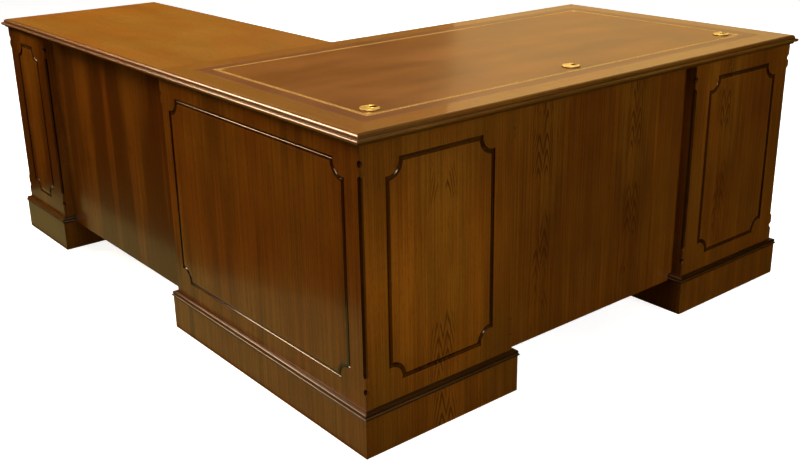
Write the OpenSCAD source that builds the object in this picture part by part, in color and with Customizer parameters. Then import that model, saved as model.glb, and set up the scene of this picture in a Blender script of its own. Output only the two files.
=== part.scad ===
// Corner desk: an L-shaped pedestal desk with a leather writing surface. The main desk
// stands on a cupboard pedestal at the corner and a drawer pedestal at its far end, and
// the return stands on a narrow drawer pedestal of its own.
//
// The origin is on the floor under the middle of the L's outline. The visitor's edge
// faces -Y, the return runs along +Y on the -X side, and the user sits inside the L.

/* [Overall] */
// Width of the main desk, from edge to edge of its top
desk_w = 1676; // [1600:2:1900]
// Length of the whole L, from the visitor's edge to the end of the return
desk_l = 2086; // [1960:2:2300]
// Height of the writing surface above the floor
desk_h = 777; // [760:1:800]
// Depth of the main top, from the visitor's edge to the user's edge
main_d = 914; // [860:2:960]
// Depth of the return's top
return_d = 600; // [580:2:640]

/* [Tops] */
// Thickness of both tops
top_t = 26; // [24:1:30]
// How far the tops reach past the pedestals
overhang = 16.5; // [14:0.5:22]
// Width of the solid moulding around the tops
edge_w = 17; // [17:1:22]
// Width of the wooden border around the leather, edge moulding included
leather_margin = 82; // [60:1:110]
// Thickness of the leather, which lies flush in the top
leather_t = 1.5; // [1:0.1:2]

/* [Pedestals] */
// Width of each pedestal of the main desk
ped_w = 468; // [430:2:500]
// How far the corner pedestal runs on under the return's top
corner_extra_d = 20.5; // [10:0.5:40]
// Width of the return's own pedestal
return_ped_w = 317.5; // [300:0.5:360]
// Thickness of the sides, backs and bottoms
board_t = 18; // [16:1:20]
// Height of the plinth boards
plinth_h = 99; // [80:1:110]
// How far the plinth stands out past the pedestal
plinth_out = 11.3; // [8:0.1:14]
// Height of the moulding on top of the plinth
cap_h = 19; // [18:1:22]
// How far the nose of that moulding stands out past the pedestal
cap_out = 15.3; // [15:0.1:16]

/* [Modesty panels] */
// How far the main modesty panel lies behind the pedestal faces
main_recess = 34; // [20:1:60]
// How far the return's modesty panel lies behind the pedestal faces
return_recess = 32; // [20:1:60]
// Section of the square cleats that hold the modesty panels
cleat_t = 15; // [12:1:16]

/* [Grooved panels] */
// Width of the routed groove
groove_w = 14; // [6:1:16]
// Depth of the routed groove
groove_deep = 4.5; // [2:0.5:6]
// Radius of the groove's hollow corners
groove_r = 39; // [30:1:44]
// Height of the groove's lower run above the plinth moulding
groove_up = 54; // [40:1:80]
// Distance of the groove's upper run below the underside of the tops
groove_down = 52; // [40:1:80]
// Radius of the stopped hollow along the pedestals' corners
cove_r = 8; // [5:0.5:10]

/* [Drawers] */
// Clear height of the two upper drawers of a pedestal
shallow_h = 138; // [120:1:150]
// Depth of the drawer boxes, behind their fronts
box_d = 430; // [380:5:450]
// Gap around the drawer fronts and the cupboard door
front_gap = 1.5; // [1.5:0.1:2.5]
// Thickness of the drawer fronts and of the cupboard door
front_t = 20; // [18:1:22]
// Distance between the two posts of a drawer pull
pull_span = 76; // [64:1:96]
// How far the bail of a pull hangs below its pivots
bail_drop = 28; // [24:1:34]

/* [Cupboard] */
// Width of the stile between the return's modesty panel and the door
stile_w = 56; // [50:1:80]
// Height of the shelf's underside above the floor
shelf_z = 400; // [250:5:550]

/* [Cable grommets] */
// Diameter of the rotating brass cap
cap_d = 48; // [44:1:60]
// Distance of each grommet's centre from the visitor's edge
grommet_in = 165; // [150:1:250]
// Distance of the outer grommets from the ends of the main top
grommet_end = 162; // [150:1:250]
// Width of the cable slot in the cap
slot_w = 16; // [12:1:18]

/* [Hidden] */
$fn = 64;
// How far a cutter runs past the face that it opens.
eps = 1;
// Width of the glue line between the boards of one piece of joinery.
glue = 0.1;

CORNER = 0;
FAR = 1;
RETURN = 2;
PEDESTALS = ["corner", "far", "return"];
DRAWERS = [1, 2, 3];
GROMMETS = [1, 2, 3];
PED_PARTS = ["outer_side", "inner_side", "back_panel", "frame", "plinth", "plinth_cap"];
DRAWER_PARTS = ["front", "box", "pull_posts", "bail"];

function drawer_node(p, d, part) = str(PEDESTALS[p], "_drawer_", d, "_", part);

// The outline of the L, by compass: west is the return's side, south the visitor's.
west = -desk_w / 2;
east = desk_w / 2;
south = -desk_l / 2;
north = desk_l / 2;
seam_y = south + main_d - edge_w;
inner_x = west + return_d;
inner_y = south + main_d;

// Heights of the carcases.
carcase_top = desk_h - top_t;
cap_top = plinth_h + cap_h;
bottom_z = cap_top + 3;
rail_t = 20;
rail_d = 60;
divider_t = 18;
runner_w = 22;
ceiling_z = carcase_top - rail_t;

// The grooved panels, and the stopped hollows that follow them along the corners.
groove_low = cap_top + groove_up;
groove_high = carcase_top - groove_down;
groove_margin = 76;
side_groove_front = 64.5;
side_groove_back = 51;
door_groove_margin = 56;
cove_runs = [
    [groove_low - 16, groove_low + 2],
    [groove_low + 27, groove_high - 17],
    [groove_high + 1, groove_high + 18]
];

// Each pedestal is drawn with its back along X and its opening towards +Y, from the
// corner of its back and left side, and is then turned and moved into place.
ped_widths = [ped_w, ped_w, return_ped_w];
ped_depths = [
    main_d - 2 * overhang + corner_extra_d,
    main_d - 2 * overhang,
    return_d - 2 * overhang
];
ped_turns = [0, 0, -90];
ped_places = [
    [west + overhang, south + overhang],
    [east - overhang - ped_w, south + overhang],
    [west + overhang, north - overhang]
];
outer_is_left = [true, false, true];

// The drawers, counted from the top.
drawer_wall = 12;
drawer_floor_t = 6;
drawer_floor_up = 8;
drawer_float = 0.6;
drawer_headroom = 10;
pull_out = 12;
post_barrel_r = 4.6;
bail_r = 2.4;
pin_r = 1.8;
pin_fit = 0.06;
bail_elbow_r = 12;
bail_half = pull_span / 2 + 9;

// The cupboard door turns about pins that stand just clear of its face.
hinge_leaf_t = 1.4;
hinge_gap = 3;
hinge_h = 64;
hinge_leaf_w = 18;
knuckle_r = 3.2;
hinge_pin_r = 1.5;
hinge_fit = 0.05;
hinge_x = board_t + stile_w + hinge_gap / 2;
hinge_out = knuckle_r + 0.2;
hinge_zs = [bottom_z + 90, ceiling_z - 90 - hinge_h];
shelf_pin_r = 2.5;
shelf_pin_in = 9;
shelf_pin_ys = [90, ped_depths[CORNER] - 130];
shelf_gap = 0.5;

// The grommets: a sleeve whose flange sits on the top board through a round hole in the
// leather, and a slotted cap that turns in it.
sleeve_r = 22.4;
sleeve_bore_r = 20;
sleeve_flange_r = cap_d / 2 - 0.5;
sleeve_flange_t = 1.2;
grommet_hole_r = sleeve_r + 0.1;
leather_hole_r = cap_d / 2 + 0.4;
cap_plate_t = 2.4;
cap_gap = 0.1;
cap_hub_t = 2.5;
cap_hub_h = 12;
grommet_y = south + grommet_in;
grommet_xs = [west + grommet_end, 0, east - grommet_end];

// ---- Shapes that repeat -------------------------------------------------------------

// A strip along +X with the given section, whose X is the depth inwards and whose Y is
// the height. Its ends are cut for an outside corner (1), square (0) or an inside corner
// (-1). The strip's outer line is y = 0, and it runs inwards along +Y.
module strip(length, depth, height, end_a = 1, end_b = 1) {
    intersection() {
        translate([-2 * depth, 0, 0]) rotate([90, 0, 90]) linear_extrude(length + 4 * depth) children();
        translate([0, 0, -eps]) linear_extrude(height + 2 * eps) polygon([
            [glue / 2, 0],
            [length - glue / 2, 0],
            [length - glue / 2 - end_b * depth, depth],
            [glue / 2 + end_a * depth, depth]
        ]);
    }
}

// The four mitred strips around the outside of a rectangle, counter-clockwise.
module strip_ring(width, length, depth, height) {
    strip(width, depth, height) children();
    translate([width, 0, 0]) rotate(90) strip(length, depth, height) children();
    translate([width, length, 0]) rotate(180) strip(width, depth, height) children();
    translate([0, length, 0]) rotate(270) strip(length, depth, height) children();
}

// Section of the tops' edge: a quarter round, a small step and a bead under it.
module top_edge_section() {
    round_r = 8.3;
    bead_r = 4.6;
    step = 2.7;
    intersection() {
        translate([round_r + 7.7, top_t - round_r]) circle(r = round_r);
        translate([0, top_t - round_r]) square([round_r + 7.7, round_r]);
    }
    translate([round_r + 7.7, top_t - round_r]) square([edge_w - round_r - 7.7, round_r]);
    translate([7.7, top_t - round_r - step]) square([edge_w - 7.7, step]);
    translate([bead_r, top_t - round_r - step - bead_r]) circle(r = bead_r);
    translate([bead_r, top_t - round_r - step - 2 * bead_r]) square([edge_w - bead_r, 2 * bead_r]);
    translate([edge_w - 8, 0]) square([8, top_t - round_r - step - 2 * bead_r]);
}

// Section of the plinth moulding: two beads on a flat foot, stepping back to the panel.
module plinth_cap_section() {
    foot = cap_out - plinth_out;
    low_r = 3;
    high_r = 5;
    translate([foot, 0]) square([cap_out - foot, 2.5]);
    translate([low_r, 2 + low_r]) circle(r = low_r);
    translate([low_r, 2]) square([cap_out - low_r, 2 * low_r]);
    translate([high_r + 2.5, 8 + high_r - 1]) circle(r = high_r);
    translate([high_r + 2.5, 8]) square([cap_out - high_r - 2.5, 2 * high_r - 1]);
    translate([cap_out - 4, 0]) square([4, cap_h]);
}

// Outline of a rectangle with hollow corners, grown by the given amount.
module hollow_corner_rect(width, height, grow) {
    difference() {
        square([width + 2 * grow, height + 2 * grow], center = true);
        for (x = [-1, 1], y = [-1, 1]) {
            translate([x * width / 2, y * height / 2]) circle(r = groove_r - grow);
        }
    }
}

// The routed groove of a panel, standing up along Y from its face at y = 0. It is
// centred on x = 0 and spans the groove's height.
module groove_cut(width) {
    height = groove_high - groove_low;
    translate([0, groove_deep, (groove_low + groove_high) / 2]) rotate([90, 0, 0])
        linear_extrude(groove_deep + eps) difference() {
            hollow_corner_rect(width, height, groove_w / 2);
            hollow_corner_rect(width, height, -groove_w / 2);
        }
}

// The stopped hollow along a vertical corner, with its short hollow at each end.
module cove_cut() {
    for (run = cove_runs) {
        translate([0, 0, run[0]]) cylinder(r = cove_r, h = run[1] - run[0]);
    }
}

// Puts a pedestal's own frame in its place in the desk.
module in_pedestal(p) {
    translate([ped_places[p][0], ped_places[p][1], 0]) rotate(ped_turns[p]) children();
}

// A box given by its lowest and highest corners.
module block(low, high) {
    translate(low) cube(high - low);
}

// ---- Tops ---------------------------------------------------------------------------

module main_top_board() {
    color("saddlebrown") difference() {
        block([west + edge_w, south + edge_w, carcase_top], [east - edge_w, seam_y, desk_h]);
        block(
            [west + leather_margin, south + leather_margin, desk_h - leather_t],
            [east - leather_margin, inner_y - leather_margin, desk_h + eps]
        );
        for (x = grommet_xs) {
            translate([x, grommet_y, carcase_top - eps]) cylinder(r = grommet_hole_r, h = top_t + 2 * eps);
        }
    }
}

module main_top_edge() {
    user_run = east - inner_x;
    side_run = main_d - edge_w;
    color("sienna") translate([0, 0, carcase_top]) {
        translate([west, south, 0]) strip(desk_w, edge_w, top_t) top_edge_section();
        translate([east, south, 0]) rotate(90) strip(main_d, edge_w, top_t) top_edge_section();
        translate([east, inner_y, 0]) rotate(180) strip(user_run, edge_w, top_t, 1, -1) top_edge_section();
        translate([west, seam_y, 0]) rotate(270) strip(side_run, edge_w, top_t, 0, 1) top_edge_section();
    }
}

module leather_inset() {
    color("peru") difference() {
        block(
            [west + leather_margin, south + leather_margin, desk_h - leather_t],
            [east - leather_margin, inner_y - leather_margin, desk_h]
        );
        for (x = grommet_xs) {
            translate([x, grommet_y, desk_h - leather_t - eps])
                cylinder(r = leather_hole_r, h = leather_t + 2 * eps);
        }
    }
}

module return_top_board() {
    color("peru") block([west + edge_w, seam_y, carcase_top], [inner_x - edge_w, north - edge_w, desk_h]);
}

module return_top_edge() {
    outer_run = north - seam_y;
    inner_run = north - inner_y;
    color("sienna") translate([0, 0, carcase_top]) {
        translate([inner_x, inner_y, 0]) rotate(90) strip(inner_run, edge_w, top_t, -1, 1) top_edge_section();
        translate([inner_x, north, 0]) rotate(180) strip(return_d, edge_w, top_t) top_edge_section();
        translate([west, north, 0]) rotate(270) strip(outer_run, edge_w, top_t, 1, 0) top_edge_section();
    }
}

// ---- Grommets -----------------------------------------------------------------------

module grommet_liners() {
    color("gold") for (x = grommet_xs) {
        translate([x, grommet_y, 0]) difference() {
            union() {
                translate([0, 0, carcase_top]) cylinder(r = sleeve_r, h = top_t);
                translate([0, 0, desk_h - leather_t])
                    cylinder(r = sleeve_flange_r, h = leather_t + sleeve_flange_t);
            }
            translate([0, 0, carcase_top - eps]) cylinder(r = sleeve_bore_r, h = top_t + 3 * eps);
        }
    }
}

module grommet_cap(g) {
    plate_z = desk_h + sleeve_flange_t + cap_gap;
    hub_r = sleeve_bore_r - cap_gap;
    slot_r = slot_w / 2;
    color("gold") translate([grommet_xs[g - 1], grommet_y, plate_z]) difference() {
        union() {
            cylinder(r = cap_d / 2, h = cap_plate_t);
            translate([0, 0, -cap_hub_h]) difference() {
                cylinder(r = hub_r, h = cap_hub_h + eps);
                translate([0, 0, -eps]) cylinder(r = hub_r - cap_hub_t, h = cap_hub_h + eps);
            }
        }
        translate([slot_r, 0, -cap_hub_h - eps]) cylinder(r = slot_r, h = cap_hub_h + cap_plate_t + 2 * eps);
        block([slot_r, -slot_r, -cap_hub_h - eps], [cap_d, slot_r, cap_plate_t + eps]);
    }
}

// ---- Modesty panels -----------------------------------------------------------------

// A modesty panel along +X, notched at its lower corners over the plinth mouldings.
module modesty_board(length) {
    notch = cap_out + 1;
    difference() {
        block([0, 0, plinth_h], [length, board_t, carcase_top]);
        for (x = [-eps, length - notch]) {
            block([x, -eps, plinth_h - eps], [x + notch + eps, board_t + eps, cap_top + 1]);
        }
    }
}

main_gap_w = desk_w - 2 * overhang - 2 * ped_w;
main_gap_x = west + overhang + ped_w;
return_gap_y = south + overhang + ped_depths[CORNER];
return_gap_l = north - overhang - return_ped_w - return_gap_y;
main_modesty_y = south + overhang + main_recess;
return_modesty_x = west + overhang + return_recess;

module main_modesty_panel() {
    color("saddlebrown") translate([main_gap_x, main_modesty_y, 0]) modesty_board(main_gap_w);
}

module return_modesty_panel() {
    color("saddlebrown") translate([return_modesty_x + board_t, return_gap_y, 0])
        rotate(90) modesty_board(return_gap_l);
}

// The cleats behind a modesty panel: one under the top, and one on each pedestal.
module cleats(length) {
    upright_low = cap_top + 12;
    rail_z = carcase_top - cleat_t;
    for (x = [0, length - cleat_t]) {
        block([x, 0, upright_low], [x + cleat_t, cleat_t, rail_z - glue]);
    }
    block([0, 0, rail_z], [length, cleat_t, carcase_top]);
}

module fixing_cleats() {
    color("burlywood") {
        translate([main_gap_x, main_modesty_y + board_t, 0]) cleats(main_gap_w);
        translate([return_modesty_x + board_t + cleat_t, return_gap_y, 0]) rotate(90) cleats(return_gap_l);
    }
}

// ---- Pedestal carcases --------------------------------------------------------------

// A side board at the pedestal's left, with its outer face at x = 0.
module left_side_board(p, grooved) {
    depth = ped_depths[p];
    margins = p == CORNER ? [side_groove_front, side_groove_back] : [groove_margin, groove_margin];
    groove_l = depth - margins[0] - margins[1];
    difference() {
        block([0, 0, plinth_h], [board_t, depth, carcase_top]);
        for (y = [0, depth]) {
            translate([0, y, 0]) cove_cut();
        }
        if (grooved) {
            translate([0, margins[0] + groove_l / 2, 0]) rotate(-90) groove_cut(groove_l);
        }
        if (p == CORNER) {
            shelf_pin_holes();
        }
    }
}

// The holes for the shelf's pins, in the inner face of a left side board.
module shelf_pin_holes() {
    for (y = shelf_pin_ys) {
        translate([board_t - shelf_pin_in, y, shelf_z - shelf_pin_r]) rotate([0, 90, 0])
            cylinder(r = shelf_pin_r, h = shelf_pin_in + eps);
    }
}

module side_board(p, is_left, grooved) {
    color("saddlebrown") in_pedestal(p) {
        if (is_left) {
            left_side_board(p, grooved);
        } else {
            translate([ped_widths[p], 0, 0]) mirror([1, 0, 0]) left_side_board(p, grooved);
        }
    }
}

module outer_side(p) {
    side_board(p, outer_is_left[p], true);
}

module inner_side(p) {
    side_board(p, !outer_is_left[p], false);
}

module back_panel(p) {
    width = ped_widths[p];
    color("sienna") in_pedestal(p) difference() {
        block([board_t, 0, plinth_h], [width - board_t, board_t, carcase_top]);
        translate([width / 2, 0, 0]) groove_cut(width - 2 * groove_margin);
    }
}

// Lower edge of a drawer's opening, and its clear height.
function shallow_low(d) = ceiling_z - d * shallow_h - (d - 1) * divider_t;
function opening_low(d) = d < 3 ? shallow_low(d) : bottom_z;
function opening_high(d) = d < 3 ? shallow_low(d) + shallow_h : shallow_low(2) - divider_t;

// A rail across the front and one across the back, with a runner between them at each end.
module rail_and_runners(p, low, height) {
    width = ped_widths[p];
    depth = ped_depths[p];
    for (y = [board_t, depth - rail_d]) {
        block([board_t, y, low], [width - board_t, y + rail_d, low + height]);
    }
    for (x = [board_t, width - board_t - runner_w]) {
        block(
            [x, board_t + rail_d + glue, low],
            [x + runner_w, depth - rail_d - glue, low + height]
        );
    }
}

module carcase_frame(p) {
    width = ped_widths[p];
    depth = ped_depths[p];
    color("burlywood") in_pedestal(p) {
        block([board_t, board_t, bottom_z - board_t], [width - board_t, depth, bottom_z]);
        rail_and_runners(p, ceiling_z, rail_t);
        if (p == CORNER) {
            block(
                [board_t, depth - front_t, bottom_z + glue],
                [board_t + stile_w, depth, ceiling_z - glue]
            );
        } else {
            for (d = [1, 2]) {
                rail_and_runners(p, opening_low(d) - divider_t, divider_t);
            }
        }
    }
}

module plinth(p) {
    color("saddlebrown") in_pedestal(p) translate([-plinth_out, -plinth_out, 0])
        strip_ring(ped_widths[p] + 2 * plinth_out, ped_depths[p] + 2 * plinth_out, board_t, plinth_h)
            square([board_t, plinth_h]);
}

module plinth_cap(p) {
    color("sienna") in_pedestal(p) translate([-cap_out, -cap_out, plinth_h])
        strip_ring(ped_widths[p] + 2 * cap_out, ped_depths[p] + 2 * cap_out, cap_out, cap_h)
            plinth_cap_section();
}

// ---- Drawers ------------------------------------------------------------------------

module drawer_front(p, d) {
    side = board_t + front_gap;
    low = opening_low(d) + front_gap;
    high = opening_high(d) - front_gap;
    depth = ped_depths[p];
    color("saddlebrown") in_pedestal(p)
        block([side, depth - front_t, low], [ped_widths[p] - side, depth, high]);
}

module drawer_box(p, d) {
    left = board_t + front_gap;
    right = ped_widths[p] - left;
    front = ped_depths[p] - front_t;
    back = front - box_d;
    low = opening_low(d) + drawer_float;
    high = opening_high(d) - drawer_headroom;
    floor_low = low + drawer_floor_up;
    inner_left = left + drawer_wall + glue;
    inner_right = right - drawer_wall - glue;
    color("burlywood") in_pedestal(p) {
        for (x = [left, right - drawer_wall]) {
            block([x, back, low], [x + drawer_wall, front, high]);
        }
        block([inner_left, back, low], [inner_right, back + drawer_wall, high]);
        block(
            [inner_left, back + drawer_wall + glue, floor_low],
            [inner_right, front, floor_low + drawer_floor_t]
        );
    }
}

// Puts a pull's own frame, with its pivots on the X axis, on a drawer's front.
module on_front(p, d) {
    height = (opening_low(d) + opening_high(d)) / 2 + bail_drop / 3;
    in_pedestal(p) translate([ped_widths[p] / 2, ped_depths[p] + pull_out, height]) children();
}

// A post is a turned rosette and neck under a barrel that carries the bail's pivot.
module pull_posts(p, d) {
    rosette_r = 10;
    rosette_t = 2.5;
    neck_r = 3.5;
    barrel_w = 11;
    color("gold") on_front(p, d) for (side = [-1, 1]) {
        translate([side * pull_span / 2, 0, 0]) difference() {
            union() {
                translate([0, -pull_out, 0]) rotate([-90, 0, 0]) cylinder(r = rosette_r, h = rosette_t);
                translate([0, -pull_out, 0]) rotate([-90, 0, 0]) cylinder(r = neck_r, h = pull_out);
                translate([-barrel_w / 2, 0, 0]) rotate([0, 90, 0]) cylinder(r = post_barrel_r, h = barrel_w);
            }
            translate([-barrel_w, 0, 0]) rotate([0, 90, 0]) cylinder(r = pin_r + pin_fit, h = 2 * barrel_w);
        }
    }
}

module bail(p, d) {
    bottom_half = bail_half - bail_elbow_r;
    arm_h = bail_drop - bail_elbow_r;
    color("gold") on_front(p, d) {
        for (side = [-1, 1]) {
            mirror([side < 0 ? 1 : 0, 0, 0]) {
                translate([bail_half - 15, 0, 0]) rotate([0, 90, 0]) cylinder(r = pin_r, h = 15);
                translate([bail_half, 0, -arm_h]) cylinder(r = bail_r, h = arm_h + bail_r);
                translate([bottom_half, 0, -arm_h]) rotate([90, 0, 0]) rotate([0, 0, -90])
                    rotate_extrude(angle = 90) translate([bail_elbow_r, 0]) circle(r = bail_r);
            }
        }
        translate([-bottom_half, 0, -bail_drop]) rotate([0, 90, 0]) cylinder(r = bail_r, h = 2 * bottom_half);
    }
}

// ---- The corner cupboard ------------------------------------------------------------

module cupboard_door() {
    left = board_t + stile_w + hinge_gap;
    right = ped_w - board_t - front_gap;
    low = bottom_z + front_gap;
    high = ceiling_z - front_gap;
    depth = ped_depths[CORNER];
    color("saddlebrown") in_pedestal(CORNER) difference() {
        block([left, depth - front_t, low], [right, depth, high]);
        translate([(left + right) / 2, depth, 0]) rotate(180)
            groove_cut(right - left - 2 * door_groove_margin);
    }
}

// One hinge leaf at x >= 0 of the pin, its knuckle pieces in the given thirds.
module hinge_leaf(thirds) {
    third = hinge_h / 3;
    inner_x = hinge_gap / 2 - hinge_leaf_t;
    block([inner_x, -hinge_out - hinge_leaf_w, 0], [hinge_gap / 2, -hinge_out, hinge_h]);
    for (k = thirds) {
        translate([0, 0, k * third + 0.1]) {
            block([inner_x, -hinge_out - 0.5, 0], [hinge_gap / 2, 0, third - 0.2]);
            cylinder(r = knuckle_r, h = third - 0.2);
        }
    }
}

module at_hinges() {
    in_pedestal(CORNER) for (z = hinge_zs) {
        translate([hinge_x, ped_depths[CORNER] + hinge_out, z]) children();
    }
}

module cupboard_hinges() {
    color("gold") at_hinges() {
        mirror([1, 0, 0]) hinge_leaf([0, 2]);
        translate([0, 0, -1]) cylinder(r = hinge_pin_r, h = hinge_h + 2);
    }
}

module cupboard_door_leaves() {
    color("gold") at_hinges() difference() {
        hinge_leaf([1]);
        translate([0, 0, -eps]) cylinder(r = hinge_pin_r + hinge_fit, h = hinge_h + 2 * eps);
    }
}

module cupboard_knob() {
    rosette_r = 12;
    neck_r = 4.5;
    knob_r = 11;
    knob_out = 18;
    knob_x = ped_w - board_t - 45;
    height = (bottom_z + ceiling_z) / 2 + 60;
    color("gold") in_pedestal(CORNER)
        translate([knob_x, ped_depths[CORNER], height]) rotate([-90, 0, 0]) {
            cylinder(r = rosette_r, h = 2.5);
            cylinder(r = neck_r, h = knob_out);
            translate([0, 0, knob_out]) sphere(r = knob_r);
        }
}

module cupboard_shelf() {
    side = board_t + shelf_gap;
    depth = ped_depths[CORNER];
    color("burlywood") in_pedestal(CORNER)
        block([side, board_t + 4, shelf_z], [ped_w - side, depth - 60, shelf_z + board_t]);
}

module shelf_pins() {
    color("gold") in_pedestal(CORNER) for (y = shelf_pin_ys, is_left = [true, false]) {
        translate([is_left ? 0 : ped_w, 0, 0]) mirror([is_left ? 0 : 1, 0, 0])
            translate([board_t - shelf_pin_in, y, shelf_z - shelf_pin_r]) rotate([0, 90, 0])
                cylinder(r = shelf_pin_r, h = 2 * shelf_pin_in);
    }
}

// ---- What is drawn ------------------------------------------------------------------

main_top_board();
main_top_edge();
leather_inset();
return_top_board();
return_top_edge();
main_modesty_panel();
return_modesty_panel();
fixing_cleats();
grommet_liners();
for (g = GROMMETS) {
    grommet_cap(g);
}
for (p = [CORNER, FAR, RETURN]) {
    name = PEDESTALS[p];
    outer_side(p);
    inner_side(p);
    back_panel(p);
    carcase_frame(p);
    plinth(p);
    plinth_cap(p);
}
for (p = [FAR, RETURN], d = DRAWERS) {
    drawer_front(p, d);
    drawer_box(p, d);
    pull_posts(p, d);
    bail(p, d);
}
cupboard_door();
cupboard_hinges();
cupboard_door_leaves();
cupboard_knob();
cupboard_shelf();
shelf_pins();
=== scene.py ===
"""The looks of the corner desk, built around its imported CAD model.

The desk is veneered in dark lacquered walnut, with golden tops, a brown leather writing
surface and brass fittings. Tops, pedestals, mouldings, drawer fronts, door, pulls and grommets
are rebuilt here with their real edges. The modesty panels, the hinges and the plain parts
inside keep their CAD meshes. Places and sizes come from the CAD nodes' boxes. All lengths are
in metres.
"""

import math

import bmesh
import bpy
from mathutils import Matrix, Vector


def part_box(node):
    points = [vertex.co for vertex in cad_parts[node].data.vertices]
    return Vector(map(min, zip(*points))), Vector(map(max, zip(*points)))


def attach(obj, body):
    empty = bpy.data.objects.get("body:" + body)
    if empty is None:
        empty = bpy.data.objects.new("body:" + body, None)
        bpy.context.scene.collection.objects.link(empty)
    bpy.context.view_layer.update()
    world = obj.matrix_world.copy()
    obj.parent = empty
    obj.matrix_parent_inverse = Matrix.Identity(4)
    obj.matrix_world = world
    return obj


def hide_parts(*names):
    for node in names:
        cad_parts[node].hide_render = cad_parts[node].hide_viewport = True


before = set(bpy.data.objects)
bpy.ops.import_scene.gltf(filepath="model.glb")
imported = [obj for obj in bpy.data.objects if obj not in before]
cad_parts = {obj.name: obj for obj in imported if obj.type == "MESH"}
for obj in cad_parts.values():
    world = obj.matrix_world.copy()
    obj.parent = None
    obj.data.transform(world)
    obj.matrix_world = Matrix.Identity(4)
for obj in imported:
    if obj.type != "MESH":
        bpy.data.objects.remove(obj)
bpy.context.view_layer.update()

MM = 0.001
UP = Vector((0, 0, 1))


def new_object(name, data):
    """An object with this mesh, camera or light, put in the scene."""
    made = bpy.data.objects.new(name, data)
    bpy.context.scene.collection.objects.link(made)
    return made


def into_mesh(shape, name="passing"):
    """A mesh made of a shape, which is then freed."""
    mesh = bpy.data.meshes.new(name)
    shape.to_mesh(mesh)
    shape.free()
    return mesh


# ---- Camera ----


def add_camera():
    """The camera stands off the desk's near corner, well above its top, and looks down on it."""
    where = (-2.062, -2.690, 1.349)
    yaw = math.radians(50.9)
    pitch = math.radians(-19.26)
    roll = math.radians(-0.95)
    film_width = 36
    lens = 46.51
    shift = (-0.0011, -0.03625)
    level_ahead = Vector((math.cos(yaw), math.sin(yaw), 0))
    ahead = level_ahead * math.cos(pitch) + UP * math.sin(pitch)
    level = level_ahead.cross(UP)
    upright = level.cross(ahead)
    right = level * math.cos(roll) + upright * math.sin(roll)
    top = upright * math.cos(roll) - level * math.sin(roll)
    data = bpy.data.cameras.new("camera")
    data.sensor_width = film_width
    data.lens = lens
    data.shift_x, data.shift_y = shift
    camera = new_object("camera", data)
    turn = Matrix((right, top, -ahead)).transposed().to_4x4()
    camera.matrix_world = Matrix.Translation(where) @ turn
    bpy.context.scene.camera = camera


add_camera()


# ---- Materials ----


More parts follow.
